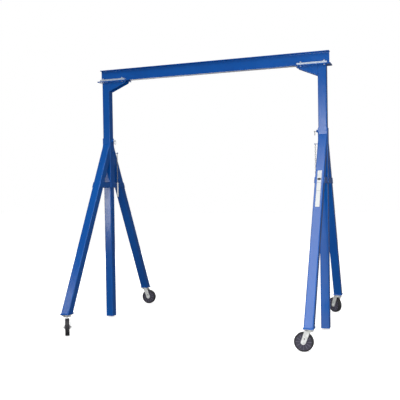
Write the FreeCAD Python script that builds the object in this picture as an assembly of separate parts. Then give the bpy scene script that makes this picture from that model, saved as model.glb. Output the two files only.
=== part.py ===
import FreeCAD, Part
import math
import os

# Portable gantry crane: an I-beam carried on two telescoping uprights, each of which slides in
# the sleeve of a caster-mounted A-frame. Millimetres, X along the beam, Y across it, Z up, with
# the origin on the floor under the middle of the beam. Shown at its lowest height setting.

# ---- beam ----
UPRIGHT_SPACING = 2880.0
BEAM_OVERHANG = 84.0
BEAM_LENGTH = UPRIGHT_SPACING + 2 * BEAM_OVERHANG
BEAM_DEPTH = 152.4
FLANGE_WIDTH = 84.6
FLANGE_THICKNESS = 9.1
WEB_THICKNESS = 6.0
WEB_ROOT_RADIUS = 8.0
BEAM_UNDERSIDE = 3170.0

# ---- uprights and their sleeves ----
UPRIGHT_SIZE = 101.6
TUBE_WALL = 4.76
TUBE_CORNER = 9.5
UPRIGHT_FLOOR_GAP = 20.0
SLEEVE_RUNNING_GAP = 0.8
SLEEVE_WALL = 5.55
SLEEVE_SIZE = UPRIGHT_SIZE + 2 * (SLEEVE_RUNNING_GAP + SLEEVE_WALL)
SLEEVE_TOP = 2410.0
SLEEVE_BOTTOM = 1750.0
HEIGHT_PITCH = 152.4
HEIGHT_STEPS = 10
HITCH_RADIUS = 10.0
HITCH_HOLE_GAP = 1.0
PIN_HOLE_RADIUS = HITCH_RADIUS + HITCH_HOLE_GAP
LOCK_HOLE_BELOW_TOP = 35.0

# ---- A-frame legs and ties ----
LEG_SIZE = 101.6
CASTER_SPREAD = 2210.0
LEG_TOP_BELOW_SLEEVE_TOP = 188.0
BAND_HEIGHT = 68.0
BAND_THICKNESS = 6.35
WELD_GAP = 0.2
TIE_END_MARGIN = 6.0
FOOT_PLATE_MARGIN_X = 3.2
FOOT_PLATE_MARGIN_Y = 9.0
FOOT_PLATE_THICKNESS = 12.7

# ---- beam brackets ----
SADDLE_OUTWARD = 105.0
SADDLE_INWARD = 318.0
SADDLE_EDGE_MARGIN = 19.6
SADDLE_THICKNESS = 12.7
GUSSET_INWARD = 296.0
GUSSET_DEPTH = 125.0
GUSSET_END_DEPTH = 20.0
GUSSET_END_RADIUS = 16.0
GUSSET_THICKNESS = 6.35
CLAMP_OUTWARD = 65.0
CLAMP_LENGTH = 360.0
CLAMP_LAP = 14.0
CLAMP_THICKNESS = 12.0
CLAMP_SIDE_GAP = 1.0
CLAMP_BOLT_OUTWARD = 30.0
CLAMP_BOLT_SPACING = 280.0
CLAMP_BOLT_RADIUS = 6.35
CLAMP_BOLT_FLATS = 19.0
CLAMP_BOLT_CLEARANCE = 1.13
CLAMP_HEEL_WALL = 3.0
CLAMP_BOLT_HEAD = 8.0
CLAMP_NUT_HEIGHT = 11.0
CLAMP_WASHER_RADIUS = 13.0
CLAMP_WASHER_THICKNESS = 2.5
BOLT_THREAD_PAST_NUT = 5.0
BOLT_HOLE_GAP = 0.8
SEAT_GAP = 0.05

# ---- casters ----
WHEEL_RADIUS = 101.6
WHEEL_WIDTH = 50.8
WHEEL_EDGE_RADIUS = 7.0
WHEEL_RIM_DEPTH = 17.0
WHEEL_WEB_RECESS = 9.0
WHEEL_HUB_RADIUS = 27.0
WHEEL_HUB_STANDOUT = 4.6
WHEEL_HUB_WIDTH = WHEEL_WIDTH + 2 * WHEEL_HUB_STANDOUT
WHEEL_RIBS = 12
WHEEL_RIB_THICKNESS = 4.0
WHEEL_RIB_BELOW_RIM = 2.0
BEARING_RADIUS = 18.0
BEARING_FIT = 0.08
WHEEL_TOP_CLEARANCE = 10.75
CASTER_TRAIL = 57.0
CASTER_PLATE_X = 101.6
CASTER_PLATE_Y = 114.3
CASTER_PLATE_THICKNESS = 6.35
CASTER_BOLT_X = 66.7
CASTER_BOLT_Y = 92.1
CASTER_BOLT_RADIUS = 5.0
CASTER_BOLT_FLATS = 17.0
CASTER_BOLT_HEAD = 6.4
RACE_RADIUS = 42.0
RACE_DEPTH = 12.5
RACE_GAP = 0.5
CROWN_RADIUS = 46.0
CROWN_THICKNESS = 8.0
CASTER_HEIGHT = (2 * WHEEL_RADIUS + WHEEL_TOP_CLEARANCE + CROWN_THICKNESS + RACE_GAP + RACE_DEPTH
                 + CASTER_PLATE_THICKNESS)
KINGPIN_RADIUS = 8.0
KINGPIN_FIT = 0.08
KINGPIN_NUT_FLATS = 24.0
KINGPIN_NUT_HEIGHT = 10.0
FORK_HUB_GAP = 4.0
FORK_THICKNESS = 6.0
FORK_OUTER_WIDTH = WHEEL_HUB_WIDTH + 2 * (FORK_HUB_GAP + FORK_THICKNESS)
FORK_END_RADIUS = 26.0
FORK_TOP_SETBACK = 13.0
FORK_TOP_HALF_WIDTH = 31.0
FORK_SPARE_HOLE_UP = 38.0
FORK_SPARE_HOLE_RADIUS = 6.8
AXLE_RADIUS = 6.35
AXLE_FLATS = 19.0
AXLE_HEAD = 8.0
AXLE_NUT_HEIGHT = 10.0
BUSHING_RADIUS = 10.0

# The way each caster trails as it stands, in degrees round from +X.
TRAIL_ANGLE = {"left_front": -58.0, "left_rear": 0.0, "right_front": 180.0, "right_rear": 142.0}

# ---- lock plungers ----
PLUNGER_RADIUS = 8.0
PLUNGER_FIT = 0.08
PLUNGER_TIP_CLEARANCE = 1.2
PLUNGER_LENGTH = 56.0
PLUNGER_NOSE = 2.0
BARREL_RADIUS = 17.0
BARREL_LENGTH = 23.0
RING_HOLE_FROM_END = 7.0
RING_RADIUS = 24.0
RING_WIRE_RADIUS = 2.2
RING_HOLE_GAP = 2.0
RING_HOLE_RADIUS = RING_WIRE_RADIUS + RING_HOLE_GAP
RING_HANG = 0.3

# ---- tether chains and hitch pins ----
CHAIN_CLEARANCE = 22.85
CHAIN_PLANE = max(SLEEVE_SIZE, LEG_SIZE) / 2 + CHAIN_CLEARANCE
CHAIN_STUD_FROM_SLEEVE = 37.85
CHAIN_STUD_Y = SLEEVE_SIZE / 2 + CHAIN_STUD_FROM_SLEEVE
CHAIN_STUD_BELOW_SLEEVE_TOP = 195.0
STUD_FIT = 0.1
STUD_HEAD_RADIUS = 8.0
STUD_HEAD_THICKNESS = 4.0
STUD_PAST_CHAIN = 8.0
LINK_COUNT = 16
LINK_WIRE_RADIUS = 2.0
LINK_INNER_LENGTH = 25.4
LINK_INNER_WIDTH = 8.0
LINK_GAP = 0.3
HITCH_LENGTH = 170.0
HITCH_TIP = 6.0
HITCH_HEAD_RADIUS = 12.0
HITCH_HEAD_HEIGHT = 10.0
TANG_GAP = 1.0
TANG_THICKNESS = LINK_INNER_WIDTH - 2 * TANG_GAP
TANG_WIDTH = 16.0
TANG_HEIGHT = 16.0
TANG_HOLE_GAP = 1.2
TANG_HOLE_RADIUS = LINK_WIRE_RADIUS + TANG_HOLE_GAP
TANG_ROOT = 3.0

V = FreeCAD.Vector
X_AXIS = V(1, 0, 0)
Y_AXIS = V(0, 1, 0)
Z_AXIS = V(0, 0, 1)
ORIGIN = V(0, 0, 0)

os.makedirs("parts", exist_ok=True)


def save(name, solids):
    """Write one node: its solids stay separate inside the file."""
    shapes = solids if isinstance(solids, list) else [solids]
    shape = shapes[0] if len(shapes) == 1 else Part.makeCompound(shapes)
    shape.exportStep("parts/" + name + ".step")


def block(x_range, y_range, z_range):
    """A box between the two ends given on each axis."""
    size = [high - low for low, high in (x_range, y_range, z_range)]
    return Part.makeBox(*size, V(x_range[0], y_range[0], z_range[0]))


def rod(radius, start, direction, length):
    """A round bar from a point, along a direction."""
    return Part.makeCylinder(radius, length, start, direction)


def hexagon(across_flats, height, base):
    """A hexagonal prism standing on a point, along +Z."""
    corner = across_flats / math.sqrt(3)
    turns = [math.radians(60 * i) for i in range(7)]
    points = [base + V(corner * math.cos(t), corner * math.sin(t), 0) for t in turns]
    return Part.Face(Part.makePolygon(points)).extrude(V(0, 0, height))


def rounded_prism(size, corner, low, high):
    """A square bar with rounded edges, centred on Z, from low to high."""
    half = size / 2
    bar = block((-half, half), (-half, half), (low, high))
    uprights = [e for e in bar.Edges if abs(e.tangentAt(e.FirstParameter).z) > 0.99]
    return bar.makeFillet(corner, uprights)


def square_tube(size, wall, corner, low, high):
    """A rounded square tube centred on Z."""
    bore = rounded_prism(size - 2 * wall, max(corner - wall, 1.0), low - 1, high + 1)
    return rounded_prism(size, corner, low, high).cut(bore)


def turned(shape, degrees, axis=Z_AXIS, about=ORIGIN):
    """A copy of a shape, turned about an axis through a point."""
    copy = shape.copy()
    copy.rotate(about, axis, degrees)
    return copy


def moved(shape, x=0.0, y=0.0, z=0.0):
    """A copy of a shape, shifted."""
    copy = shape.copy()
    copy.translate(V(x, y, z))
    return copy


def hex_bolt(radius, flats, head, shank):
    """A bolt with the underside of its head on the origin and its shank up +Z."""
    body = hexagon(flats, head, V(0, 0, -head))
    return body.fuse(rod(radius, V(0, 0, -0.5), Z_AXIS, shank + 0.5))


# ---------------------------------------------------------------- beam

beam_top = BEAM_UNDERSIDE + BEAM_DEPTH


def make_beam():
    """A parallel-flange I-section with a radius where the web meets each flange."""
    half_length = BEAM_LENGTH / 2
    half_flange = FLANGE_WIDTH / 2
    along = (-half_length, half_length)
    low = block(along, (-half_flange, half_flange), (BEAM_UNDERSIDE, BEAM_UNDERSIDE + FLANGE_THICKNESS))
    high = block(along, (-half_flange, half_flange), (beam_top - FLANGE_THICKNESS, beam_top))
    web = block(along, (-WEB_THICKNESS / 2, WEB_THICKNESS / 2), (BEAM_UNDERSIDE, beam_top))
    beam = low.fuse([high, web]).removeSplitter()
    roots = []
    for edge in beam.Edges:
        middle = edge.CenterOfMass
        beside_web = abs(abs(middle.y) - WEB_THICKNESS / 2) < 0.01
        inside = BEAM_UNDERSIDE + 1 < middle.z < beam_top - 1
        if beside_web and inside and edge.Length > BEAM_LENGTH - 1:
            roots.append(edge)
    return beam.makeFillet(WEB_ROOT_RADIUS, roots)


# ---------------------------------------------------------------- one end of the top structure
# Built about the upright's own axis, with +X towards the middle of the beam.

upright_top = BEAM_UNDERSIDE - SADDLE_THICKNESS
lock_height = SLEEVE_TOP - LOCK_HOLE_BELOW_TOP
clamp_heel = FLANGE_WIDTH / 2 + CLAMP_SIDE_GAP
clamp_bolt_y = max(
    UPRIGHT_SIZE / 2 + CLAMP_BOLT_FLATS / math.sqrt(3) + CLAMP_BOLT_CLEARANCE,
    clamp_heel + CLAMP_HEEL_WALL + BOLT_HOLE_GAP + CLAMP_BOLT_RADIUS,
)
saddle_half_width = clamp_bolt_y + SADDLE_EDGE_MARGIN
clamp_bolt_spots = [
    (x, side * clamp_bolt_y)
    for x in (-CLAMP_BOLT_OUTWARD, CLAMP_BOLT_SPACING - CLAMP_BOLT_OUTWARD)
    for side in (-1, 1)
]
clamp_top = BEAM_UNDERSIDE + FLANGE_THICKNESS + CLAMP_THICKNESS


def make_upright():
    """The telescoping tube, drilled across at every height setting."""
    tube = square_tube(UPRIGHT_SIZE, TUBE_WALL, TUBE_CORNER, UPRIGHT_FLOOR_GAP, upright_top - SEAT_GAP)
    reach = UPRIGHT_SIZE / 2 + 1
    for step in range(HEIGHT_STEPS + 2):
        centre = V(-reach, 0, lock_height - step * HEIGHT_PITCH)
        tube = tube.cut(rod(PIN_HOLE_RADIUS, centre, X_AXIS, 2 * reach))
    return tube


def make_saddle_plate():
    """The bearing plate under the beam, drilled for the clamp bolts."""
    across = (-saddle_half_width, saddle_half_width)
    plate = block((-SADDLE_OUTWARD, SADDLE_INWARD), across, (upright_top, BEAM_UNDERSIDE - SEAT_GAP))
    for x, y in clamp_bolt_spots:
        hole = rod(CLAMP_BOLT_RADIUS + BOLT_HOLE_GAP, V(x, y, upright_top - 1), Z_AXIS, SADDLE_THICKNESS + 2)
        plate = plate.cut(hole)
    return plate


def make_gussets():
    """Two knee plates, flush with the upright's faces, that brace the saddle plate."""
    near = UPRIGHT_SIZE / 2 + WELD_GAP
    top = upright_top - SEAT_GAP
    outline = [
        V(near, 0, top),
        V(GUSSET_INWARD, 0, top),
        V(GUSSET_INWARD, 0, top - GUSSET_END_DEPTH),
        V(near, 0, top - GUSSET_DEPTH),
        V(near, 0, top),
    ]
    plate = Part.Face(Part.makePolygon(outline)).extrude(V(0, GUSSET_THICKNESS, 0))
    corner = [e for e in plate.Edges if abs(e.CenterOfMass.x - GUSSET_INWARD) < 0.01
              and abs(e.CenterOfMass.z - (top - GUSSET_END_DEPTH)) < 0.01]
    plate = plate.makeFillet(GUSSET_END_RADIUS, corner)
    outer = UPRIGHT_SIZE / 2 - GUSSET_THICKNESS
    return [moved(plate, y=-UPRIGHT_SIZE / 2), moved(plate, y=outer)]


def make_clamps():
    """Stepped bars: one edge laps the bottom flange, the heel stands on the saddle plate."""
    lap_edge = FLANGE_WIDTH / 2 - CLAMP_LAP
    outer = saddle_half_width
    flange_top = BEAM_UNDERSIDE + FLANGE_THICKNESS + SEAT_GAP
    section = [
        V(-CLAMP_OUTWARD, lap_edge, flange_top),
        V(-CLAMP_OUTWARD, lap_edge, clamp_top),
        V(-CLAMP_OUTWARD, outer, clamp_top),
        V(-CLAMP_OUTWARD, outer, BEAM_UNDERSIDE),
        V(-CLAMP_OUTWARD, clamp_heel, BEAM_UNDERSIDE),
        V(-CLAMP_OUTWARD, clamp_heel, flange_top),
        V(-CLAMP_OUTWARD, lap_edge, flange_top),
    ]
    bar = Part.Face(Part.makePolygon(section)).extrude(V(CLAMP_LENGTH, 0, 0))
    for x, y in clamp_bolt_spots:
        if y > 0:
            hole = rod(CLAMP_BOLT_RADIUS + BOLT_HOLE_GAP, V(x, y, BEAM_UNDERSIDE - 1), Z_AXIS, 2 * BEAM_DEPTH)
            bar = bar.cut(hole)
    return [bar, bar.mirror(ORIGIN, Y_AXIS)]


def make_clamp_fasteners():
    """Bolts up through the saddle plate, with a washer and a nut on top of the clamp."""
    grip = clamp_top - upright_top
    washer_base = clamp_top + SEAT_GAP
    nut_base = washer_base + CLAMP_WASHER_THICKNESS + SEAT_GAP
    shank = grip + CLAMP_WASHER_THICKNESS + CLAMP_NUT_HEIGHT + BOLT_THREAD_PAST_NUT
    bolts, washers, nuts = [], [], []
    for x, y in clamp_bolt_spots:
        bolt = hex_bolt(CLAMP_BOLT_RADIUS, CLAMP_BOLT_FLATS, CLAMP_BOLT_HEAD, shank)
        bolts.append(moved(bolt, x, y, upright_top - SEAT_GAP))
        bore = rod(CLAMP_BOLT_RADIUS + SEAT_GAP, V(x, y, clamp_top), Z_AXIS, BEAM_DEPTH)
        washer = rod(CLAMP_WASHER_RADIUS, V(x, y, washer_base), Z_AXIS, CLAMP_WASHER_THICKNESS)
        washers.append(washer.cut(bore))
        nuts.append(hexagon(CLAMP_BOLT_FLATS, CLAMP_NUT_HEIGHT, V(x, y, nut_base)).cut(bore))
    return bolts, washers, nuts


# ---------------------------------------------------------------- one A-frame
# Built about the sleeve's own axis, with +X towards the middle of the crane. The leg made here
# goes down towards -Y, and its twin is turned half round.

foot_top = CASTER_HEIGHT + FOOT_PLATE_THICKNESS
foot_y = CASTER_SPREAD / 2
leg_top_height = SLEEVE_TOP - LEG_TOP_BELOW_SLEEVE_TOP
leg_run = foot_y - SLEEVE_SIZE / 2
leg_rise = leg_top_height - foot_top
leg_lean = math.atan2(leg_run, leg_rise)
leg_half_across = LEG_SIZE / 2 / math.cos(leg_lean)
foot_plate_half_x = LEG_SIZE / 2 + FOOT_PLATE_MARGIN_X
foot_plate_half_y = leg_half_across + FOOT_PLATE_MARGIN_Y


def leg_centre_y(height):
    """How far out a leg's centreline is at a height."""
    return foot_y - (height - foot_top) * math.tan(leg_lean)


def make_sleeve():
    """The square sleeve, drilled for the lock plunger and for the hitch pin below it."""
    tube = square_tube(SLEEVE_SIZE, SLEEVE_WALL, TUBE_CORNER, SLEEVE_BOTTOM, SLEEVE_TOP)
    reach = SLEEVE_SIZE / 2 + 1
    tube = tube.cut(rod(PLUNGER_RADIUS + PLUNGER_FIT, V(0, 0, lock_height), X_AXIS, reach))
    hitch = rod(PIN_HOLE_RADIUS, V(-reach, 0, lock_height - HEIGHT_PITCH), X_AXIS, 2 * reach)
    return tube.cut(hitch)


def make_leg():
    """A square tube, coped upright against the sleeve and cut level on its foot plate."""
    length = math.hypot(leg_run, leg_rise) + 2 * LEG_SIZE
    tube = square_tube(LEG_SIZE, TUBE_WALL, TUBE_CORNER, -2 * LEG_SIZE, length)
    tube = turned(tube, -math.degrees(leg_lean), X_AXIS)
    tube = moved(tube, y=-foot_y, z=foot_top)
    far = CASTER_SPREAD
    keep = block((-far, far), (-far, -SLEEVE_SIZE / 2 - SEAT_GAP), (foot_top + SEAT_GAP, 2 * SLEEVE_TOP))
    return tube.common(keep)


def make_band():
    """The collar that closes the sleeve's lower end."""
    inner = SLEEVE_SIZE + 2 * WELD_GAP
    outer = inner + 2 * BAND_THICKNESS
    top = SLEEVE_BOTTOM + BAND_HEIGHT
    ring = rounded_prism(outer, TUBE_CORNER + BAND_THICKNESS, SLEEVE_BOTTOM, top)
    return ring.cut(rounded_prism(inner, TUBE_CORNER, SLEEVE_BOTTOM - 1, top + 1))


def make_tie_plates():
    """Flat bars from the collar out along the sides of both legs."""
    top = SLEEVE_BOTTOM + BAND_HEIGHT
    start = SLEEVE_SIZE / 2 + WELD_GAP + BAND_THICKNESS + WELD_GAP
    low_end = leg_centre_y(SLEEVE_BOTTOM) + leg_half_across - TIE_END_MARGIN
    high_end = leg_centre_y(top) + leg_half_across - TIE_END_MARGIN
    side = LEG_SIZE / 2 + SEAT_GAP
    outline = [
        V(side, start, SLEEVE_BOTTOM),
        V(side, low_end, SLEEVE_BOTTOM),
        V(side, high_end, top),
        V(side, start, top),
        V(side, start, SLEEVE_BOTTOM),
    ]
    thickness = (SLEEVE_SIZE - LEG_SIZE) / 2 - SEAT_GAP
    plate = Part.Face(Part.makePolygon(outline)).extrude(V(thickness, 0, 0))
    across = plate.mirror(ORIGIN, X_AXIS)
    return [plate, across, plate.mirror(ORIGIN, Y_AXIS), across.mirror(ORIGIN, Y_AXIS)]


caster_bolt_spots = [
    (x, y)
    for x in (-CASTER_BOLT_X / 2, CASTER_BOLT_X / 2)
    for y in (-CASTER_BOLT_Y / 2, CASTER_BOLT_Y / 2)
]


def make_foot_plate():
    """The plate that closes a leg's lower end, with tapped holes for the caster bolts."""
    along = (-foot_plate_half_x, foot_plate_half_x)
    across = (-foot_plate_half_y, foot_plate_half_y)
    plate = block(along, across, (CASTER_HEIGHT, foot_top))
    for x, y in caster_bolt_spots:
        start = V(x, y, CASTER_HEIGHT - 1)
        plate = plate.cut(rod(CASTER_BOLT_RADIUS + SEAT_GAP, start, Z_AXIS, FOOT_PLATE_THICKNESS + 2))
    return plate


def make_barrel():
    """The welded guide of the lock plunger, on the sleeve's inner face."""
    start = V(SLEEVE_SIZE / 2 + SEAT_GAP, 0, lock_height)
    body = rod(BARREL_RADIUS, start, X_AXIS, BARREL_LENGTH)
    rim = [e for e in body.Edges if abs(e.CenterOfMass.x - start.x - BARREL_LENGTH) < 0.01]
    body = body.makeChamfer(BARREL_RADIUS / 8, rim)
    return body.cut(rod(PLUNGER_RADIUS + PLUNGER_FIT, start - X_AXIS, X_AXIS, BARREL_LENGTH + 2))


stud_height = SLEEVE_TOP - CHAIN_STUD_BELOW_SLEEVE_TOP
stud_radius = LINK_INNER_WIDTH / 2 - STUD_FIT


def make_chain_stud():
    """A headed stud on the side of a leg, which the tether chain hangs from."""
    start = V(LEG_SIZE / 2 + SEAT_GAP, CHAIN_STUD_Y, stud_height)
    length = CHAIN_PLANE + STUD_PAST_CHAIN - start.x
    shank = rod(stud_radius, start, X_AXIS, length + 1)
    return shank.fuse(rod(STUD_HEAD_RADIUS, start + V(length, 0, 0), X_AXIS, STUD_HEAD_THICKNESS))


# ---- plunger, ring, chain and hitch pin, each free to move ----

plunger_tip = UPRIGHT_SIZE / 2 + PLUNGER_TIP_CLEARANCE
ring_x = plunger_tip + PLUNGER_LENGTH - RING_HOLE_FROM_END


def make_plunger():
    """The lock pin, drawn just clear of the upright, with a cross hole for its ring."""
    tip = V(plunger_tip, 0, lock_height)
    nose = Part.makeCone(PLUNGER_RADIUS - PLUNGER_NOSE, PLUNGER_RADIUS, PLUNGER_NOSE, tip, X_AXIS)
    body = nose.fuse(rod(PLUNGER_RADIUS, tip + V(PLUNGER_NOSE, 0, 0), X_AXIS, PLUNGER_LENGTH - PLUNGER_NOSE))
    start = V(ring_x, -PLUNGER_RADIUS - 1, lock_height)
    return body.cut(rod(RING_HOLE_RADIUS, start, Y_AXIS, 2 * PLUNGER_RADIUS + 2))


def make_pull_ring():
    """A wire ring that hangs through the plunger's cross hole."""
    centre = V(ring_x, 0, lock_height - RING_HANG - RING_RADIUS)
    return Part.makeTorus(RING_RADIUS, RING_WIRE_RADIUS, centre, X_AXIS)


def make_link():
    """One welded link about its own middle, long along Z and wide along Y."""
    bend = LINK_INNER_WIDTH / 2 + LINK_WIRE_RADIUS
    reach = LINK_INNER_LENGTH / 2 - LINK_INNER_WIDTH / 2
    path = Part.Wire([
        Part.LineSegment(V(0, bend, -reach), V(0, bend, reach)).toShape(),
        Part.Arc(V(0, bend, reach), V(0, 0, reach + bend), V(0, -bend, reach)).toShape(),
        Part.LineSegment(V(0, -bend, reach), V(0, -bend, -reach)).toShape(),
        Part.Arc(V(0, -bend, -reach), V(0, 0, -reach - bend), V(0, bend, -reach)).toShape(),
    ])
    section = Part.Wire([Part.makeCircle(LINK_WIRE_RADIUS, V(0, bend, -reach), Z_AXIS)])
    return path.makePipeShell([section], True, False)


link_step = LINK_INNER_LENGTH - LINK_GAP
first_link_drop = LINK_INNER_LENGTH / 2 - LINK_INNER_WIDTH / 2
last_link_height = stud_height - first_link_drop - (LINK_COUNT - 1) * link_step


def make_chain():
    """Links set crosswise in turn, from the stud down."""
    link = make_link()
    links = []
    for number in range(LINK_COUNT):
        one = turned(link, 90 * (number % 2))
        height = stud_height - first_link_drop - number * link_step
        links.append(moved(one, CHAIN_PLANE, CHAIN_STUD_Y, height))
    return links


def make_hitch_pin():
    """The loose pin that goes through sleeve and upright in use, hung by the tang on its head."""
    tang_hole = last_link_height - LINK_INNER_LENGTH / 2 + LINK_GAP - LINK_WIRE_RADIUS
    head_top = tang_hole - TANG_HEIGHT / 2
    half_thick, half_wide = TANG_THICKNESS / 2, TANG_WIDTH / 2
    tang_top = head_top + TANG_HEIGHT - TANG_ROOT
    tang = block((-half_thick, half_thick), (-half_wide, half_wide), (head_top - 1, tang_top))
    tang = tang.cut(rod(TANG_HOLE_RADIUS, V(-TANG_THICKNESS, 0, tang_hole), X_AXIS, 2 * TANG_THICKNESS))
    head = rod(HITCH_HEAD_RADIUS, V(0, 0, head_top - HITCH_HEAD_HEIGHT), Z_AXIS, HITCH_HEAD_HEIGHT)
    low = head_top - HITCH_HEAD_HEIGHT - HITCH_LENGTH
    shank = rod(HITCH_RADIUS, V(0, 0, low), Z_AXIS, HITCH_LENGTH)
    tip = Part.makeCone(HITCH_RADIUS / 2, HITCH_RADIUS, HITCH_TIP, V(0, 0, low - HITCH_TIP), Z_AXIS)
    pin = shank.fuse([head, tang, tip]).removeSplitter()
    return moved(pin, CHAIN_PLANE, CHAIN_STUD_Y)


# ---------------------------------------------------------------- one caster
# Built about its swivel axis with the wheel trailing towards +X.

plate_bottom = CASTER_HEIGHT - CASTER_PLATE_THICKNESS
crown_top = plate_bottom - RACE_DEPTH - RACE_GAP
crown_bottom = crown_top - CROWN_THICKNESS
arm_inner = FORK_OUTER_WIDTH / 2 - FORK_THICKNESS


def make_caster_plate():
    """The fixed top plate with the upper ball race under it."""
    half_x, half_y = CASTER_PLATE_X / 2, CASTER_PLATE_Y / 2
    plate = block((-half_x, half_x), (-half_y, half_y), (plate_bottom, CASTER_HEIGHT - SEAT_GAP))
    race = rod(RACE_RADIUS, V(0, 0, plate_bottom - RACE_DEPTH), Z_AXIS, RACE_DEPTH + 1)
    rim = [e for e in race.Edges if abs(e.CenterOfMass.z - plate_bottom + RACE_DEPTH) < 0.01]
    plate = plate.fuse(race.makeFillet(RACE_DEPTH / 3, rim))
    for x, y in caster_bolt_spots:
        start = V(x, y, plate_bottom - 1)
        plate = plate.cut(rod(CASTER_BOLT_RADIUS + BOLT_HOLE_GAP, start, Z_AXIS, CASTER_PLATE_THICKNESS + 2))
    return plate.cut(rod(KINGPIN_RADIUS + SEAT_GAP, V(0, 0, crown_top), Z_AXIS, CASTER_HEIGHT))


def make_kingpin():
    """The pin that hangs the fork, with its nut under the crown."""
    top = CASTER_HEIGHT - SEAT_GAP
    nut_top = crown_bottom - RACE_GAP
    low = nut_top - KINGPIN_NUT_HEIGHT
    shank = rod(KINGPIN_RADIUS, V(0, 0, low), Z_AXIS, top - low)
    return shank.fuse(hexagon(KINGPIN_NUT_FLATS, KINGPIN_NUT_HEIGHT, V(0, 0, low)))


def make_caster_bolts():
    """Four bolts up through the top plate into the foot plate."""
    shank = CASTER_PLATE_THICKNESS + FOOT_PLATE_THICKNESS - 1
    bolt = hex_bolt(CASTER_BOLT_RADIUS, CASTER_BOLT_FLATS, CASTER_BOLT_HEAD, shank)
    return [moved(bolt, x, y, plate_bottom - SEAT_GAP) for x, y in caster_bolt_spots]


def make_fork():
    """The swivelling yoke: a crown, two slanted arms with round ends, and a spare axle hole."""
    top_x = FORK_TOP_SETBACK
    lean = math.atan2(CASTER_TRAIL - top_x, crown_top - WHEEL_RADIUS)
    across = V(math.cos(lean), 0, math.sin(lean))
    axle = V(CASTER_TRAIL, 0, WHEEL_RADIUS)
    back = axle + across * FORK_END_RADIUS
    front = axle - across * FORK_END_RADIUS
    tip = axle + V(math.sin(lean), 0, -math.cos(lean)) * FORK_END_RADIUS
    outline = Part.Wire([
        Part.Arc(back, tip, front).toShape(),
        Part.LineSegment(front, V(top_x - FORK_TOP_HALF_WIDTH, 0, crown_top)).toShape(),
        Part.LineSegment(V(top_x - FORK_TOP_HALF_WIDTH, 0, crown_top),
                         V(top_x + FORK_TOP_HALF_WIDTH, 0, crown_top)).toShape(),
        Part.LineSegment(V(top_x + FORK_TOP_HALF_WIDTH, 0, crown_top), back).toShape(),
    ])
    arm = Part.Face(outline).extrude(V(0, FORK_THICKNESS, 0))
    crown = rod(CROWN_RADIUS, V(0, 0, crown_bottom), Z_AXIS, CROWN_THICKNESS)
    half = FORK_OUTER_WIDTH / 2
    top_span = (top_x - FORK_TOP_HALF_WIDTH, top_x + FORK_TOP_HALF_WIDTH)
    bridge = block(top_span, (-half, half), (crown_bottom, crown_top))
    fork = crown.fuse([bridge, moved(arm, y=-half), moved(arm, y=arm_inner)]).removeSplitter()
    spare = axle - V(math.sin(lean), 0, -math.cos(lean)) * FORK_SPARE_HOLE_UP
    for centre, radius in ((axle, AXLE_RADIUS + SEAT_GAP), (spare, FORK_SPARE_HOLE_RADIUS)):
        fork = fork.cut(rod(radius, centre - V(0, half + 1, 0), Y_AXIS, FORK_OUTER_WIDTH + 2))
    return fork.cut(rod(KINGPIN_RADIUS + KINGPIN_FIT, V(0, 0, crown_bottom - 1), Z_AXIS, CROWN_THICKNESS + 2))


def make_axle():
    """The axle bolt with its nut, the spanner bushing on it and the roller bearing round that."""
    centre = V(CASTER_TRAIL, 0, WHEEL_RADIUS)
    half = FORK_OUTER_WIDTH / 2
    shank = FORK_OUTER_WIDTH + AXLE_NUT_HEIGHT + BOLT_THREAD_PAST_NUT
    bolt = hex_bolt(AXLE_RADIUS, AXLE_FLATS, AXLE_HEAD, shank)
    bolt = turned(moved(bolt, z=-half - SEAT_GAP), -90, X_AXIS)
    nut = hexagon(AXLE_FLATS, AXLE_NUT_HEIGHT, V(0, 0, half + SEAT_GAP))
    thread_hole = rod(AXLE_RADIUS + SEAT_GAP, V(0, 0, half - 1), Z_AXIS, FORK_OUTER_WIDTH)
    nut = turned(nut.cut(thread_hole), -90, X_AXIS)
    long = 2 * (arm_inner - SEAT_GAP)
    bushing = rod(BUSHING_RADIUS, V(0, -long / 2, 0), Y_AXIS, long)
    bushing = bushing.cut(rod(AXLE_RADIUS + SEAT_GAP, V(0, -half, 0), Y_AXIS, FORK_OUTER_WIDTH))
    bearing = rod(BEARING_RADIUS, V(0, -WHEEL_HUB_WIDTH / 2, 0), Y_AXIS, WHEEL_HUB_WIDTH)
    bearing = bearing.cut(rod(BUSHING_RADIUS + SEAT_GAP, V(0, -half, 0), Y_AXIS, FORK_OUTER_WIDTH))
    return [moved(piece, centre.x, centre.y, centre.z) for piece in (bolt, nut, bushing, bearing)]


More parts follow.
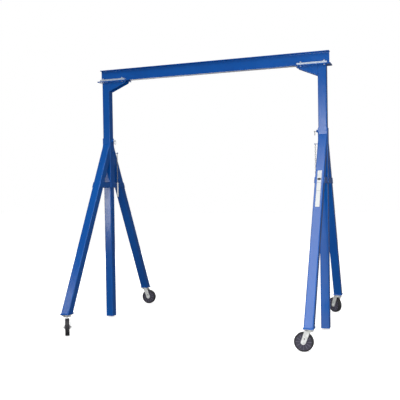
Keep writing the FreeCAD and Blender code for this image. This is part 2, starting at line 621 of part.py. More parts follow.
def make_wheel():
    """A moulded wheel: tread, recessed ribbed web and a hub bored for the roller bearing."""
    half = WHEEL_WIDTH / 2
    body = rod(WHEEL_RADIUS, V(0, -half, 0), Y_AXIS, WHEEL_WIDTH)
    rims = [e for e in body.Edges if abs(abs(e.CenterOfMass.y) - half) < 0.01]
    body = body.makeFillet(WHEEL_EDGE_RADIUS, rims)
    web_radius = WHEEL_RADIUS - WHEEL_RIM_DEPTH
    rib_reach = half - WHEEL_RIB_BELOW_RIM
    for side in (-1, 1):
        start = V(0, side * (half - WHEEL_WEB_RECESS), 0)
        body = body.cut(rod(web_radius, start, Y_AXIS * side, WHEEL_WEB_RECESS + 1))
    ribs = []
    for number in range(WHEEL_RIBS):
        rib = block((WHEEL_HUB_RADIUS / 2, web_radius + 1), (-rib_reach, rib_reach),
                    (-WHEEL_RIB_THICKNESS / 2, WHEEL_RIB_THICKNESS / 2))
        ribs.append(turned(rib, 360 * number / WHEEL_RIBS, Y_AXIS))
    hub = rod(WHEEL_HUB_RADIUS, V(0, -WHEEL_HUB_WIDTH / 2, 0), Y_AXIS, WHEEL_HUB_WIDTH)
    body = body.fuse(ribs + [hub]).removeSplitter()
    bore = rod(BEARING_RADIUS + BEARING_FIT, V(0, -WHEEL_HUB_WIDTH, 0), Y_AXIS, 2 * WHEEL_HUB_WIDTH)
    return moved(body.cut(bore), CASTER_TRAIL, 0, WHEEL_RADIUS)


# ---------------------------------------------------------------- the whole crane

save("i_beam", make_beam())

fork, axle, wheel = make_fork(), make_axle(), make_wheel()
caster_plate, kingpin, caster_bolts = make_caster_plate(), make_kingpin(), make_caster_bolts()
leg, foot_plate = make_leg(), make_foot_plate()
clamp_bolts, clamp_washers, clamp_nuts = make_clamp_fasteners()

# The two ends are one weldment made twice: the right one is the left one turned half round.
for end, heading in (("left", 0), ("right", 180)):
    end_x = -UPRIGHT_SPACING / 2 if end == "left" else UPRIGHT_SPACING / 2
    ends_seen = ("front", "rear") if end == "left" else ("rear", "front")

    def placed(pieces, x=0.0, y=0.0):
        """Copies of one end's pieces, put where that end stands."""
        group = pieces if isinstance(pieces, list) else [pieces]
        return [moved(turned(moved(piece, x, y), heading), end_x) for piece in group]

    save(end + "_upright", placed(make_upright()))
    save(end + "_saddle_plate", placed(make_saddle_plate()))
    save(end + "_gussets", placed(make_gussets()))
    save(end + "_clamps", placed(make_clamps()))
    save(end + "_clamp_bolts", placed(clamp_bolts))
    save(end + "_clamp_nuts", placed(clamp_nuts + clamp_washers))
    save(end + "_sleeve", placed(make_sleeve()))
    save(end + "_sleeve_band", placed(make_band()))
    save(end + "_tie_plates", placed(make_tie_plates()))
    save(end + "_lock_barrel", placed(make_barrel()))
    save(end + "_chain_stud", placed(make_chain_stud()))
    save(end + "_lock_plunger", placed(make_plunger()))
    save(end + "_pull_ring", placed(make_pull_ring()))
    save(end + "_chain", placed(make_chain()))
    save(end + "_hitch_pin", placed(make_hitch_pin()))
    all_bolts, all_kingpins = [], []
    for corner, across in zip(ends_seen, (-1, 1)):
        name = end + "_" + corner
        flip = 0 if across < 0 else 180
        save(name + "_leg", placed(turned(leg, flip)))
        save(name + "_foot_plate", placed(foot_plate, 0, across * foot_y))
        save(name + "_caster_plate", placed(caster_plate, 0, across * foot_y))
        all_bolts += placed(caster_bolts, 0, across * foot_y)
        all_kingpins += placed(kingpin, 0, across * foot_y)
        corner_y = -foot_y if corner == "front" else foot_y
        for part_name, pieces in (("fork", [fork]), ("axle", axle), ("wheel", [wheel])):
            group = [moved(turned(piece, TRAIL_ANGLE[name]), end_x, corner_y) for piece in pieces]
            save(name + "_" + part_name, group)
    save(end + "_caster_bolts", all_bolts)
    save(end + "_kingpins", all_kingpins)
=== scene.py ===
import math

import bpy
from mathutils import Matrix, Vector


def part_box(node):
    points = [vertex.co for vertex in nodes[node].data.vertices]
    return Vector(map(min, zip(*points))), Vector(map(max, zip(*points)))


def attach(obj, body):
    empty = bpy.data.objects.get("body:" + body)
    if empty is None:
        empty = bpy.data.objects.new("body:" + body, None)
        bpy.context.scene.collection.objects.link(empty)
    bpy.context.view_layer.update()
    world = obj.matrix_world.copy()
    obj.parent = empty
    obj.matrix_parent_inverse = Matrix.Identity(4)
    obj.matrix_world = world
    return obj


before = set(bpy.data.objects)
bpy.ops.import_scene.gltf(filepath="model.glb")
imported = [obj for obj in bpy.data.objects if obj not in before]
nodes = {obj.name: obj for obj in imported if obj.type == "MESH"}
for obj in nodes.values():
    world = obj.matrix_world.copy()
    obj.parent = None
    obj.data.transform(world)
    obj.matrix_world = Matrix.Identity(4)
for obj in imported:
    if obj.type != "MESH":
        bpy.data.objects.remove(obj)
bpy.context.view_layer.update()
scene = bpy.context.scene


# ---- Camera ----------------------------------------------------------------------------------
# Eye height, in front of the crane and a little outside its right-hand end, with a lens long
# enough to keep the uprights nearly parallel.

CAMERA_PLACE = (2.609, -7.568, 1.661)
CAMERA_TURN_LEFT = 19.95
CAMERA_TILT_UP = -0.67
CAMERA_ROLL = -0.91
CAMERA_LENS = 56.6

camera = bpy.data.objects.new("camera", bpy.data.cameras.new("camera"))
scene.collection.objects.link(camera)
scene.camera = camera
camera.data.lens = CAMERA_LENS
camera.data.sensor_width = 36.0
camera.data.clip_end = 200.0
facing = Matrix.Rotation(math.radians(CAMERA_TURN_LEFT), 4, "Z")
tilt = Matrix.Rotation(math.radians(90 + CAMERA_TILT_UP), 4, "X")
roll = Matrix.Rotation(math.radians(CAMERA_ROLL), 4, "Z")
camera.matrix_world = Matrix.Translation(CAMERA_PLACE) @ facing @ tilt @ roll


# ---- Studio ----------------------------------------------------------------------------------
# A white room with dim walls as far as reflections go. Soft panels stand in front of the crane,
# over it, beside it and behind it, so that every side of the gloss paint has a long soft shine.
# Each panel has its place, the point it faces, its width and height, and its watts.

ROOM_WHITE = 1.0
ROOM_DIM = 0.11
GLOW_TOWARDS = (-0.05, -0.99, -0.15)
GLOW_EDGE = 0.974
GLOW_SOFTNESS = 0.03
GLOW_STRENGTH = 1.3
SKY_STRENGTH = 1.15
SKY_SPREAD = 65.0
PANELS = {
    "ceiling_panel": ((0.0, -6.5, 8.0), (0.0, -6.5, 0.0), (4.0, 5.8), 290.0),
    "front_panel": ((0.25, -7.6, 2.75), (1.4, 0.0, 2.5), (1.5, 1.1), 42.0),
    "front_top_panel": ((0.25, -7.6, 3.6), (1.4, 0.0, 2.6), (1.5, 0.6), 6.5),
    "left_panel": ((-5.4, -7.4, 1.35), (-1.4, 0.0, 1.5), (1.3, 1.1), 40.0),
    "left_ceiling_panel": ((-8.0, -8.9, 8.0), (-8.0, -8.9, 0.0), (2.6, 1.6), 52.0),
    "ceiling_edge_panel": ((-0.5, -9.6, 8.0), (-0.5, -9.6, 0.0), (3.0, 1.2), 75.0),
    "side_panel": ((7.0, -0.5, 2.0), (1.4, 0.0, 1.5), (3.0, 3.0), 75.0),
    "back_panel": ((-5.0, 8.5, 4.5), (0.0, 0.0, 1.5), (11.0, 7.0), 420.0),
}
KEY_PLACE = (3.6, -8.2, 1.2)
KEY_AIM = (1.6, 0.0, 0.9)
KEY_SIZE = 2.4
KEY_SPREAD = 90.0
KEY_WATTS = 100.0


class Value:
    """A node's output with arithmetic, so that masks and sizes are written as expressions."""

    def __init__(self, graph, socket):
        self.graph = graph
        self.socket = socket

    def maths(self, operation, first, second=0.0):
        """One Math node."""
        return self.graph.node("ShaderNodeMath", {"operation": operation}, {0: first, 1: second})

    def __add__(self, other):
        return self.maths("ADD", self, other)

    def __sub__(self, other):
        return self.maths("SUBTRACT", self, other)

    def __mul__(self, other):
        return self.maths("MULTIPLY", self, other)

    def __truediv__(self, other):
        return self.maths("DIVIDE", self, other)

    def __rsub__(self, other):
        return self.maths("SUBTRACT", other, self)

    __radd__ = __add__
    __rmul__ = __mul__

    def sine(self):
        """The sine of an angle in radians."""
        return self.maths("SINE", self)

    def size(self):
        """The value without its sign."""
        return self.maths("ABSOLUTE", self)

    def above(self, edge, softness):
        """0 below an edge and 1 above it, with a soft step between."""
        return self.maths("MINIMUM", self.maths("MAXIMUM", (self - edge) / softness + 0.5, 0.0), 1.0)


class Graph:
    """A node tree being built by one method that makes any node."""

    def __init__(self, tree):
        self.tree = tree

    def node(self, kind, settings, sockets, output=0):
        """One node: its settings first, then the values or links of its sockets."""
        made = self.tree.nodes.new(kind)
        for setting, value in settings.items():
            setattr(made, setting, value)
        for socket, value in sockets.items():
            self.feed(made, socket, value)
        return Value(self, made.outputs[output]) if made.outputs else None

    def feed(self, made, socket, value):
        """Link a node's socket, or set its value."""
        if isinstance(value, Value):
            self.tree.links.new(value.socket, made.inputs[socket])
        else:
            made.inputs[socket].default_value = value


scene.view_settings.view_transform = "Standard"
world = bpy.data.worlds.new("room")
scene.world = world
world.use_nodes = True
room = Graph(world.node_tree)
direction = room.node("ShaderNodeTexCoord", {}, {}, "Generated")
towards = room.node("ShaderNodeVectorMath", {"operation": "NORMALIZE"}, {0: GLOW_TOWARDS})
nearness = room.node(
    "ShaderNodeVectorMath", {"operation": "DOT_PRODUCT"}, {0: direction, 1: towards}, "Value")
dim_light = ROOM_DIM + GLOW_STRENGTH * nearness.above(GLOW_EDGE, GLOW_SOFTNESS)
seen_directly = room.node("ShaderNodeLightPath", {}, {}, "Is Camera Ray")
background = world.node_tree.nodes["Background"]
background.inputs["Color"].default_value = (1.0, 1.0, 1.0, 1.0)
room.feed(background, "Strength", dim_light + seen_directly * (ROOM_WHITE - dim_light))


def area_light(name, place, aim, watts):
    """A lamp at a place, facing a point, that the camera doesn't see."""
    lamp = bpy.data.objects.new(name, bpy.data.lights.new(name, "AREA"))
    scene.collection.objects.link(lamp)
    lamp.data.energy = watts
    lamp.location = place
    lamp.rotation_euler = (Vector(aim) - Vector(place)).to_track_quat("-Z", "Y").to_euler()
    lamp.visible_camera = False
    return lamp


for name, (place, aim, size, watts) in PANELS.items():
    panel = area_light(name, place, aim, watts)
    panel.data.shape = "RECTANGLE"
    panel.data.size, panel.data.size_y = size

key = area_light("key_light", KEY_PLACE, KEY_AIM, KEY_WATTS)
key.data.size = KEY_SIZE
key.data.spread = math.radians(KEY_SPREAD)
key.visible_glossy = False

sky = bpy.data.objects.new("sky_light", bpy.data.lights.new("sky_light", "SUN"))
scene.collection.objects.link(sky)
sky.data.energy = SKY_STRENGTH
sky.data.angle = math.radians(SKY_SPREAD)
sky.visible_glossy = False


# ---- Floor -----------------------------------------------------------------------------------
# A plain white floor. It isn't part of the crane, and the paint doesn't mirror it.

FLOOR_REACH = 40.0
FLOOR_GLOW = 0.64
EDGE_BEND = 0.06
EDGE_SOFTNESS = 0.10


class Finish(Graph):
    """A material being built around one shader."""

    def __init__(self, name, shader_values):
        self.material = bpy.data.materials.new(name)
        self.material.use_nodes = True
        super().__init__(self.material.node_tree)
        self.shader = self.tree.nodes["Principled BSDF"]
        for socket, value in shader_values.items():
            self.shader.inputs[socket].default_value = value

    def set(self, socket, value):
        """What one of the shader's sockets takes."""
        self.feed(self.shader, socket, value)

    def point(self, stretch=(1.0, 1.0, 1.0)):
        """A point of the piece, in metres, stretched along each axis."""
        here = self.node("ShaderNodeTexCoord", {}, {}, "Object")
        return self.node("ShaderNodeMapping", {}, {"Vector": here, "Scale": stretch})

    def noise(self, scale, detail=3.0, stretch=(1.0, 1.0, 1.0)):
        """Soft random variation, about 0.5 on average."""
        sockets = {"Vector": self.point(stretch), "Scale": scale, "Detail": detail}
        return self.node("ShaderNodeTexNoise", {}, sockets)

    def mix(self, share, first, second):
        """Two colours mixed by a mask."""
        sockets = {"Factor": share, 6: first, 7: second}
        return self.node("ShaderNodeMix", {"data_type": "RGBA"}, sockets, 2)

    def rounded(self, radius):
        """The surface's direction, with every edge softened by a small radius."""
        return self.node("ShaderNodeBevel", {"samples": 6}, {"Radius": radius})

    def edges(self, radius):
        """1 on an edge, falling to 0 at a small distance from it."""
        flat = self.node("ShaderNodeNewGeometry", {}, {}, "Normal")
        sockets = {0: self.rounded(radius), 1: flat}
        along = self.node("ShaderNodeVectorMath", {"operation": "DOT_PRODUCT"}, sockets, "Value")
        return (1.0 - along).above(EDGE_BEND, EDGE_SOFTNESS)

    def relief(self, height, depth, edge_radius):
        """Bumps up to a depth in metres, on softened edges."""
        sockets = {"Height": height, "Distance": depth, "Normal": self.rounded(edge_radius)}
        self.set("Normal", self.node("ShaderNodeBump", {}, sockets))

    def dress(self, *names):
        """Put this finish on CAD nodes."""
        for name in names:
            slots = nodes[name].data.materials
            slots.clear()
            slots.append(self.material)


floor_mesh = bpy.data.meshes.new("floor")
corner_signs = ((-1, -1), (1, -1), (1, 1), (-1, 1))
floor_corners = [(x * FLOOR_REACH, y * FLOOR_REACH, 0.0) for x, y in corner_signs]
floor_mesh.from_pydata(floor_corners, [], [(0, 1, 2, 3)])
white_floor = Finish("white_floor", {
    "Base Color": (0.9, 0.9, 0.9, 1.0), "Roughness": 1.0,
    "Emission Color": (1.0, 1.0, 1.0, 1.0), "Emission Strength": FLOOR_GLOW})
floor_mesh.materials.append(white_floor.material)
floor = bpy.data.objects.new("floor", floor_mesh)
scene.collection.objects.link(floor)
floor.visible_diffuse = False
floor.visible_glossy = False


# ---- I-beam ----------------------------------------------------------------------------------
# A rolled steel I-beam, powder coated in one gloss blue like the rest of the steelwork. The coat
# has a fine orange peel, shows the steel's rolling streaks, and is thinner and paler on the edges.

BLUE = (0.004, 0.100, 0.42, 1.0)
BLUE_DEEP = (0.004, 0.084, 0.37, 1.0)
BLUE_THIN = (0.02, 0.16, 0.52, 1.0)
PAINT_EDGE = 0.0016
PAINT_THIN_SHARE = 0.55
PAINT_CLOUD_SCALE = 1.6
PAINT_ROUGH_LEAST, PAINT_ROUGH_SPREAD, PAINT_ROUGH_SCALE = 0.11, 0.14, 11.0
ORANGE_PEEL_SCALE = 380.0
ORANGE_PEEL_SHARE = 0.5
ORANGE_PEEL_DEPTH = 0.00012
ROLLING_SCALE = 22.0
ROLLING_SHARE = 7.0


def blue_coat(name, across):
    """The blue coat, with faint rolling streaks that lie square to the axes where across is 1."""
    coat = Finish(name, {"IOR": 1.5})
    film = coat.mix(coat.noise(PAINT_CLOUD_SCALE, 2.0).above(0.5, 0.3), BLUE_DEEP, BLUE)
    coat.set("Base Color", coat.mix(coat.edges(PAINT_EDGE) * PAINT_THIN_SHARE, film, BLUE_THIN))
    coat.set("Roughness", PAINT_ROUGH_LEAST + coat.noise(PAINT_ROUGH_SCALE, 4.0) * PAINT_ROUGH_SPREAD)
    streaks = coat.noise(ROLLING_SCALE, 2.0, across) * ROLLING_SHARE
    peel = coat.noise(ORANGE_PEEL_SCALE, 1.0) * ORANGE_PEEL_SHARE
    coat.relief(peel + streaks, ORANGE_PEEL_DEPTH, PAINT_EDGE)
    return coat


beam_paint = blue_coat("blue_coat_on_beam", (0.05, 0.05, 1.0))
beam_paint.dress("i_beam")


# ---- Uprights and brackets -------------------------------------------------------------------
# Square steel tubes with a row of drilled height holes. A saddle plate is welded over each one
# and braced by two gussets. All painted with the beam.

ENDS = ("left", "right")

paint = blue_coat("blue_coat_on_frames", (1.0, 0.05, 0.05))
for end in ENDS:
    paint.dress(f"{end}_upright", f"{end}_saddle_plate", f"{end}_gussets")


# ---- Beam clamps -----------------------------------------------------------------------------
# Two stepped bars on each saddle, pulled down on the beam's bottom flange by four bolts, whose
# threads stand a little out of the nuts. Bluish zinc over rolled steel, clouded by the bath.

CLAMP_CLOUD = (0.46, 0.53, 0.64, 1.0)
CLAMP_CLEAR = (0.62, 0.70, 0.83, 1.0)
ZINC_EDGE = 0.0009
ZINC_CLOUD_SCALE = 34.0
ZINC_ROUGH_LEAST, ZINC_ROUGH_SPREAD, ZINC_ROUGH_SCALE = 0.30, 0.26, 70.0
ZINC_GRAIN_SCALE = 700.0
ZINC_GRAIN_DEPTH = 0.0001
THREAD_RADIUS = 0.0063
THREAD_DEPTH = 0.0006
THREAD_PITCH = 0.0014
THREAD_LENGTH = 0.0036
CLAMP_WASHER_RADIUS = 0.013


def zinc_plate(name, metallic, clouded, clear):
    """Zinc plate that is clouded in patches, with a grain too fine to feel."""
    plate = Finish(name, {"Metallic": metallic})
    clouds = plate.noise(ZINC_CLOUD_SCALE, 4.0).above(0.5, 0.35)
    plate.set("Base Color", plate.mix(clouds, clouded, clear))
    plate.set("Roughness", ZINC_ROUGH_LEAST + plate.noise(ZINC_ROUGH_SCALE, 3.0) * ZINC_ROUGH_SPREAD)
    plate.relief(plate.noise(ZINC_GRAIN_SCALE, 2.0), ZINC_GRAIN_DEPTH, ZINC_EDGE)
    return plate


clamp_zinc = zinc_plate("clamp_zinc", 0.45, CLAMP_CLOUD, CLAMP_CLEAR)


def grown(name, mesh, tree, values):
    """The plain mesh that a geometry tree grows on a mesh of points or lines."""
    seed = bpy.data.objects.new(name + "_lines", mesh)
    scene.collection.objects.link(seed)
    modifier = seed.modifiers.new("grow", "NODES")
    modifier.node_group = tree
    for item in tree.interface.items_tree:
        if item.item_type == "SOCKET" and item.in_out == "INPUT" and item.name in values:
            modifier[item.identifier] = values[item.name]
    depsgraph = bpy.context.evaluated_depsgraph_get()
    plain = bpy.data.meshes.new_from_object(seed.evaluated_get(depsgraph))
    bpy.data.objects.remove(seed)
    piece = bpy.data.objects.new(name, plain)
    scene.collection.objects.link(piece)
    return piece


def growing_tree(name, sizes):
    """A new geometry tree with named inputs, and its graph and inputs as values."""
    tree = bpy.data.node_groups.new(name, "GeometryNodeTree")
    tree.interface.new_socket("Geometry", in_out="INPUT", socket_type="NodeSocketGeometry")
    tree.interface.new_socket("Geometry", in_out="OUTPUT", socket_type="NodeSocketGeometry")
    for size in sizes:
        tree.interface.new_socket(size, in_out="INPUT", socket_type="NodeSocketFloat")
    tree.interface.new_socket("Finish", in_out="INPUT", socket_type="NodeSocketMaterial")
    graph = Graph(tree)
    entry = tree.nodes.new("NodeGroupInput")
    return graph, {socket.name: Value(graph, socket) for socket in entry.outputs if socket.name}


def close_tree(graph, shape, finish):
    """End a geometry tree: instances made real, smooth faces, and one finish."""
    real = graph.node("GeometryNodeRealizeInstances", {}, {"Geometry": shape})
    smooth = graph.node("GeometryNodeSetShadeSmooth", {}, {"Geometry": real})
    dressed = graph.node("GeometryNodeSetMaterial", {}, {"Geometry": smooth, "Material": finish})
    graph.node("NodeGroupOutput", {}, {"Geometry": dressed})
    return graph.tree


def centre(name):
    """The middle of a CAD node's box."""
    low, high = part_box(name)
    return (low + high) / 2


def thread_spots(end):
    """Where the threads start, on the four bolt ends that stand out of the nuts."""
    low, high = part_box(f"{end}_clamp_nuts")
    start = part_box(f"{end}_clamp_bolts")[1].z - THREAD_LENGTH - THREAD_DEPTH
    return [(x, y, start) for x in (low.x + CLAMP_WASHER_RADIUS, high.x - CLAMP_WASHER_RADIUS)
            for y in (low.y + CLAMP_WASHER_RADIUS, high.y - CLAMP_WASHER_RADIUS)]


thread_graph, thread_inputs = growing_tree("bolt_thread", ("Radius", "Depth", "Pitch", "Length"))
turns = thread_inputs["Length"] / thread_inputs["Pitch"]
helix = thread_graph.node("GeometryNodeCurveSpiral", {}, {
    "Resolution": 20, "Rotations": turns, "Start Radius": thread_inputs["Radius"],
    "End Radius": thread_inputs["Radius"], "Height": thread_inputs["Length"]})
ridge = thread_graph.node("GeometryNodeCurvePrimitiveCircle", {}, {
    "Resolution": 3, "Radius": thread_inputs["Depth"]})
thread = thread_graph.node("GeometryNodeCurveToMesh", {}, {
    "Curve": helix, "Profile Curve": ridge, "Fill Caps": True})
threads = thread_graph.node("GeometryNodeInstanceOnPoints", {}, {
    "Points": thread_inputs["Geometry"], "Instance": thread})
thread_tree = close_tree(thread_graph, threads, thread_inputs["Finish"])

bolt_tops = bpy.data.meshes.new("bolt_tops")
bolt_tops.from_pydata([spot for end in ENDS for spot in thread_spots(end)], [], [])
clamp_threads = grown("clamp_bolt_threads", bolt_tops, thread_tree, {
    "Radius": THREAD_RADIUS, "Depth": THREAD_DEPTH, "Pitch": THREAD_PITCH,
    "Length": THREAD_LENGTH, "Finish": clamp_zinc.material})
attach(clamp_threads, "top_beam")
for end in ENDS:
    clamp_zinc.dress(f"{end}_clamps", f"{end}_clamp_bolts", f"{end}_clamp_nuts")


# ---- A-frames --------------------------------------------------------------------------------
# Each end stands on a sleeve of square tube with two raked legs coped and welded to it. A band
# and flat bars tie the legs at the sleeve's foot, and a plate closes each leg for its caster.

for end in ENDS:
    paint.dress(*[f"{end}_{part}" for part in (
        "sleeve", "sleeve_band", "tie_plates", "front_leg", "rear_leg", "front_foot_plate",
        "rear_foot_plate", "lock_barrel", "chain_stud")])


# ---- Weld beads ------------------------------------------------------------------------------
# Fillet welds run by hand along the joints of the steelwork, before painting: a row of small
# overlapping ripples of slightly uneven width, under the same blue coat.

BEAD_RADIUS = 0.0036
BEAD_RIPPLE_PITCH = 0.0055
BEAD_STEP = 0.0016
BEAD_LEAST, BEAD_RIPPLE, BEAD_WANDER = 0.72, 0.10, 0.56
WANDER_SCALE = 45.0
TUBE_CORNER = 0.0095
CORNER_STEPS = 5
LEG_HALF = 0.0508
LEG_LEAN = math.radians(28.03)
LEG_HALF_LEVEL = LEG_HALF / math.cos(LEG_LEAN)
LEG_HALF_UPRIGHT = LEG_HALF / math.sin(LEG_LEAN)
WELD_STOP = 0.012
GUSSET_WELD_STOP = 0.004
TIE_WELD_START = 0.006
BAND_WELD_STOP = 0.003
BAND_SEAM_INSET = 0.0065
WELD_SEAT = 0.001
BARREL_WELD_RADIUS = 0.0175

bead_graph, bead_inputs = growing_tree("weld_bead", ("Radius", "Ripple Pitch", "Step"))
line = bead_graph.node("GeometryNodeMeshToCurve", {}, {"Mesh": bead_inputs["Geometry"]})
line = bead_graph.node("GeometryNodeResampleCurve", {"mode": "LENGTH"}, {
    "Curve": line, "Length": bead_inputs["Step"]})
along = bead_graph.node("GeometryNodeSplineParameter", {}, {}, "Length")
here = bead_graph.node("GeometryNodeInputPosition", {}, {})
wander = bead_graph.node("ShaderNodeTexNoise", {}, {
    "Vector": here, "Scale": WANDER_SCALE, "Detail": 2.0})
ripple = (along * (2 * math.pi) / bead_inputs["Ripple Pitch"]).sine()
width = bead_inputs["Radius"] * (BEAD_LEAST + BEAD_RIPPLE * ripple + BEAD_WANDER * wander)
round_bead = bead_graph.node("GeometryNodeCurvePrimitiveCircle", {}, {
    "Resolution": 8, "Radius": 1.0})
bead = bead_graph.node("GeometryNodeCurveToMesh", {}, {
    "Curve": line, "Profile Curve": round_bead, "Scale": width, "Fill Caps": True})
bead_tree = close_tree(bead_graph, bead, bead_inputs["Finish"])


def rounded_loop(half_u, half_v, corner_u, corner_v):
    """A rectangle with round corners about the origin, as flat points in order."""
    points = []
    for quarter in range(4):
        side_u = 1 if quarter in (0, 3) else -1
        side_v = 1 if quarter in (0, 1) else -1
        for step in range(CORNER_STEPS + 1):
            angle = math.radians(90 * (quarter + step / CORNER_STEPS))
            points.append((side_u * (half_u - corner_u) + corner_u * math.cos(angle),
                           side_v * (half_v - corner_v) + corner_v * math.sin(angle)))
    return points


def lines_mesh(name, lines):
    """A mesh of lines: each is its points, and whether it closes."""
    points, edges = [], []
    for line_points, closed in lines:
        first = len(points)
        points.extend(line_points)
        edges.extend((n, n + 1) for n in range(first, len(points) - 1))
        if closed:
            edges.append((len(points) - 1, first))
    mesh = bpy.data.meshes.new(name)
    mesh.from_pydata(points, edges, [])
    return mesh


def end_axis(end):
    """An upright's axis on X, and the way from it to the middle of the crane."""
    axis = centre(f"{end}_upright").x
    return axis, -math.copysign(1.0, axis)


def bracket_welds(end):
    """Round the upright's top, and along and down both gussets."""
    axis, inward = end_axis(end)
    low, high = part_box(f"{end}_upright")
    half = (high.y - low.y) / 2
    gusset_low, gusset_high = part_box(f"{end}_gussets")
    reach = max(abs(gusset_low.x - axis), abs(gusset_high.x - axis)) - WELD_STOP
    top = gusset_high.z
    loop = rounded_loop(half, half, TUBE_CORNER, TUBE_CORNER)
    welds = [([(axis + u, v, top) for u, v in loop], True)]
    for side in (-1, 1):
        along_plate = [(axis + inward * x, side * half, top) for x in (half + WELD_STOP, reach)]
        down_upright = [(axis + inward * half, side * (half - WELD_SEAT), z)
                        for z in (top - GUSSET_WELD_STOP, gusset_low.z + GUSSET_WELD_STOP)]
        welds += [(along_plate, False), (down_upright, False)]
    return welds


def leg_welds(end, leg, side):
    """Round a leg at the sleeve and the foot, along its tie plates and down the band's seams."""
    axis = end_axis(end)[0]
    sleeve_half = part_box(f"{end}_sleeve")[1].y
    band_low, band_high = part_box(f"{end}_sleeve_band")
    leg_low, leg_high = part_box(f"{end}_{leg}_leg")
    upper = rounded_loop(LEG_HALF, LEG_HALF_UPRIGHT, TUBE_CORNER, TUBE_CORNER / math.sin(LEG_LEAN))
    middle = leg_high.z - LEG_HALF_UPRIGHT
    lower = rounded_loop(LEG_HALF, LEG_HALF_LEVEL, TUBE_CORNER, TUBE_CORNER / math.cos(LEG_LEAN))
    foot = max(abs(leg_low.y), abs(leg_high.y)) - LEG_HALF_LEVEL
    welds = [([(axis + u, side * sleeve_half, middle + v) for u, v in upper], True),
             ([(axis + u, side * foot + v, leg_low.z) for u, v in lower], True)]
    for face in (-1, 1):
        flank = axis + face * LEG_HALF
        for height in (band_high.z, band_low.z):
            on_leg = foot - (height - leg_low.z) * math.tan(LEG_LEAN)
            start, stop = on_leg - LEG_HALF_LEVEL + TIE_WELD_START, on_leg + LEG_HALF_LEVEL - WELD_STOP
            welds.append(([(flank, side * y, height) for y in (start, stop)], False))
        seam = axis + face * (band_high.y - BAND_SEAM_INSET)
        ends = (band_low.z + BAND_WELD_STOP, band_high.z - BAND_WELD_STOP)
        welds.append(([(seam, side * band_high.y, z) for z in ends], False))
    return welds


def frame_welds(end):
    """Over and under the band, on both legs, and round the lock's barrel."""
    axis, inward = end_axis(end)
    sleeve_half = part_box(f"{end}_sleeve")[1].y
    band_low, band_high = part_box(f"{end}_sleeve_band")
    welds = []
    for height, half in ((band_high.z, sleeve_half), (band_low.z, sleeve_half + WELD_SEAT)):
        loop = rounded_loop(half, half, TUBE_CORNER, TUBE_CORNER)
        welds.append(([(axis + u, v, height) for u, v in loop], True))
    welds += leg_welds(end, "front", -1) + leg_welds(end, "rear", 1)
    barrel = centre(f"{end}_lock_barrel")
    turns_round = [math.radians(angle) for angle in range(0, 360, 15)]
    ring = [(axis + inward * sleeve_half, BARREL_WELD_RADIUS * math.cos(angle),
             barrel.z + BARREL_WELD_RADIUS * math.sin(angle)) for angle in turns_round]
    return welds + [(ring, True)]


for name, body, lines in (
        ("bracket_weld_beads", "top_beam", [weld for end in ENDS for weld in bracket_welds(end)]),
        ("left_frame_weld_beads", "left_frame", frame_welds("left")),
        ("right_frame_weld_beads", "right_frame", frame_welds("right"))):
    beads = grown(name, lines_mesh(name, lines), bead_tree, {
        "Radius": BEAD_RADIUS, "Ripple Pitch": BEAD_RIPPLE_PITCH, "Step": BEAD_STEP,
        "Finish": paint.material})
    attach(beads, body)


# ---- Leg label -------------------------------------------------------------------------------
# A plain white vinyl strip stuck on the face of the right front leg, with a dark oval near its top
# and two grey rules. It has no words.

LABEL_WIDTH = 0.048
LABEL_LENGTH = 0.468
LABEL_MIDDLE_HEIGHT = 1.689
LABEL_THICKNESS = 0.0006
LABEL_CORNER = 0.004
OVAL_WIDTH, OVAL_DEPTH, OVAL_HEIGHT = 0.045, 0.028, 0.120
LABEL_RULES = (-0.03, 0.075)
RULE_HALF_WIDTH = 0.0016
LABEL_LIFT = 0.00015
VINYL_ROUGH_LEAST, VINYL_ROUGH_SPREAD, VINYL_ROUGH_SCALE = 0.3, 0.15, 90.0
VINYL_WHITE = (0.66, 0.68, 0.68, 1.0)
RULE_GREY = (0.28, 0.30, 0.32, 1.0)
OVAL_BLACK = (0.02, 0.02, 0.024, 1.0)

vinyl = Finish("label_vinyl", {"IOR": 1.45})
chart = vinyl.node("ShaderNodeUVMap", {}, {})
across = vinyl.node("ShaderNodeSeparateXYZ", {}, {"Vector": chart}, "X")
up = vinyl.node("ShaderNodeSeparateXYZ", {}, {"Vector": chart}, "Y")
oval_across = across / (OVAL_WIDTH / 2)
oval_up = (up - OVAL_HEIGHT) / (OVAL_DEPTH / 2)
oval = 1.0 - (oval_across * oval_across + oval_up * oval_up).above(1.0, 0.15)
rules = 0.0
for rule in LABEL_RULES:
    rules = rules + (1.0 - (up - rule).size().above(RULE_HALF_WIDTH, RULE_HALF_WIDTH / 2))
ruled = vinyl.mix(rules, VINYL_WHITE, RULE_GREY)
vinyl.set("Base Color", vinyl.mix(oval, ruled, OVAL_BLACK))
vinyl.set("Roughness", VINYL_ROUGH_LEAST + vinyl.noise(VINYL_ROUGH_SCALE, 3.0) * VINYL_ROUGH_SPREAD)

label_outline = rounded_loop(LABEL_WIDTH / 2, LABEL_LENGTH / 2, LABEL_CORNER, LABEL_CORNER)
label_axis = end_axis("right")[0]
leg_low, leg_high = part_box("right_front_leg")
leg_foot = leg_low.y + LEG_HALF_LEVEL
face_out = Vector((0.0, -math.cos(LEG_LEAN), math.sin(LEG_LEAN)))
leg_up = Vector((0.0, math.sin(LEG_LEAN), math.cos(LEG_LEAN)))
on_axis = LABEL_MIDDLE_HEIGHT - LEG_HALF * face_out.z
axis_y = leg_foot + (on_axis - leg_low.z) * math.tan(LEG_LEAN)
label_middle = Vector((label_axis, axis_y, on_axis)) + face_out * LEG_HALF
label_mesh = bpy.data.meshes.new("leg_label")
count = len(label_outline)
label_points = [label_middle + Vector((u, 0, 0)) + leg_up * v + face_out * lift
                for lift in (LABEL_LIFT, LABEL_THICKNESS) for u, v in label_outline]
label_faces = [tuple(reversed(range(count))), tuple(range(count, 2 * count))]
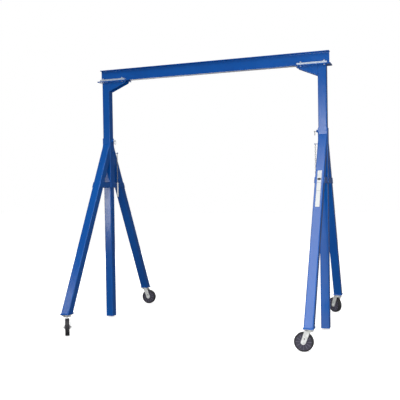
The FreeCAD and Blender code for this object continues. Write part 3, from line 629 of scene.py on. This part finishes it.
label_faces += [(n, (n + 1) % count, count + (n + 1) % count, count + n) for n in range(count)]
label_mesh.from_pydata(label_points, [], label_faces)
uv = label_mesh.uv_layers.new(name="chart")
for loop in label_mesh.loops:
    uv.data[loop.index].uv = label_outline[loop.vertex_index % count]
label_mesh.materials.append(vinyl.material)
label = bpy.data.objects.new("right_leg_label", label_mesh)
scene.collection.objects.link(label)
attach(label, "right_frame")


# ---- Lock plungers, tether chains and hitch pins ----------------------------------------------
# Zinc-plated turned pins, bent wire rings and short welded link chain. The rings and the chain
# get a darker zinc than the pins: painted shade for the shadow they hang in.

DULL_SHADED_CLOUD = (0.26, 0.27, 0.27, 1.0)
DULL_SHADED_CLEAR = (0.46, 0.47, 0.47, 1.0)
ZINC_CLOUD = (0.70, 0.71, 0.69, 1.0)
ZINC_CLEAR = (0.94, 0.95, 0.94, 1.0)

# A darker zinc, which on the pull rings and chains is painted shade.
dull_zinc = zinc_plate("dull_zinc", 0.6, DULL_SHADED_CLOUD, DULL_SHADED_CLEAR)
zinc = zinc_plate("bright_zinc", 0.30, ZINC_CLOUD, ZINC_CLEAR)
for end in ENDS:
    zinc.dress(f"{end}_lock_plunger", f"{end}_hitch_pin")
    dull_zinc.dress(f"{end}_pull_ring", f"{end}_chain")


# ---- Casters ---------------------------------------------------------------------------------
# Pressed and welded swivel forks, plates and axles in bright zinc, and duller bolts. The wheels
# are moulded from dark phenolic with chopped fibre in it, and the rib tops of both faces are
# painted paler, a painted highlight where the ribs catch the light.
# The angles are how far round each caster trails.

TRAIL_ANGLES = {"left_front": -58.0, "left_rear": 0.0, "right_front": 180.0, "right_rear": 142.0}
WHEEL_WEB_OUTSIDE = 0.0846
WHEEL_WEB_SOFTNESS = 0.002
WHEEL_RIB_TOP = 0.0205
WHEEL_RIB_SOFTNESS = 0.003
WHEEL_EDGE = 0.0015
WHEEL_ROUGH_LEAST, WHEEL_ROUGH_SPREAD, WHEEL_ROUGH_SCALE = 0.38, 0.3, 45.0
FIBRE_SCALE = 190.0
FIBRE_DEPTH = 0.00025
FIBRE_SHARE_ON_WEB = 0.3
PHENOLIC_DARK = (0.022, 0.021, 0.024, 1.0)
PHENOLIC_FIBRE = (0.042, 0.040, 0.048, 1.0)
PHENOLIC_WEB = (0.070, 0.067, 0.095, 1.0)
PHENOLIC_RIB_HIGHLIGHT = (0.190, 0.180, 0.245, 1.0)

for end in ENDS:
    dull_zinc.dress(f"{end}_caster_bolts", f"{end}_kingpins")
    for corner in ("front", "rear"):
        zinc.dress(*[f"{end}_{corner}_{part}" for part in ("caster_plate", "fork", "axle")])


def moulded_phenolic(place, angle):
    """One wheel's phenolic: its web, the ribs that stand on the web, and its dark tread."""
    phenolic = Finish(f"{place}_phenolic", {"IOR": 1.5})
    here = phenolic.node("ShaderNodeTexCoord", {}, {}, "Object")
    local = phenolic.node("ShaderNodeMapping", {"vector_type": "TEXTURE"}, {
        "Vector": here, "Location": centre(f"{place}_wheel"), "Rotation": (0, 0, math.radians(angle))})
    flat = phenolic.node("ShaderNodeVectorMath", {"operation": "MULTIPLY"}, {0: local, 1: (1, 0, 1)})
    from_axle = phenolic.node("ShaderNodeVectorMath", {"operation": "LENGTH"}, {0: flat}, "Value")
    depth = phenolic.node("ShaderNodeSeparateXYZ", {}, {"Vector": local}, "Y").size()
    fibre = phenolic.noise(FIBRE_SCALE, 5.0)
    tread = phenolic.mix(fibre.above(0.5, 0.25), PHENOLIC_DARK, PHENOLIC_FIBRE)
    # The rib tops are painted paler: a painted highlight where the ribs catch the light.
    web = phenolic.mix(depth.above(WHEEL_RIB_TOP, WHEEL_RIB_SOFTNESS), PHENOLIC_WEB, PHENOLIC_RIB_HIGHLIGHT)
    web = phenolic.mix(fibre.above(0.5, 0.3) * FIBRE_SHARE_ON_WEB, web, PHENOLIC_FIBRE)
    outside = from_axle.above(WHEEL_WEB_OUTSIDE, WHEEL_WEB_SOFTNESS)
    phenolic.set("Base Color", phenolic.mix(outside, web, tread))
    rough = phenolic.noise(WHEEL_ROUGH_SCALE, 3.0) * WHEEL_ROUGH_SPREAD
    phenolic.set("Roughness", WHEEL_ROUGH_LEAST + rough)
    phenolic.relief(fibre, FIBRE_DEPTH, WHEEL_EDGE)
    return phenolic


for place, angle in TRAIL_ANGLES.items():
    moulded_phenolic(place, angle).dress(f"{place}_wheel")
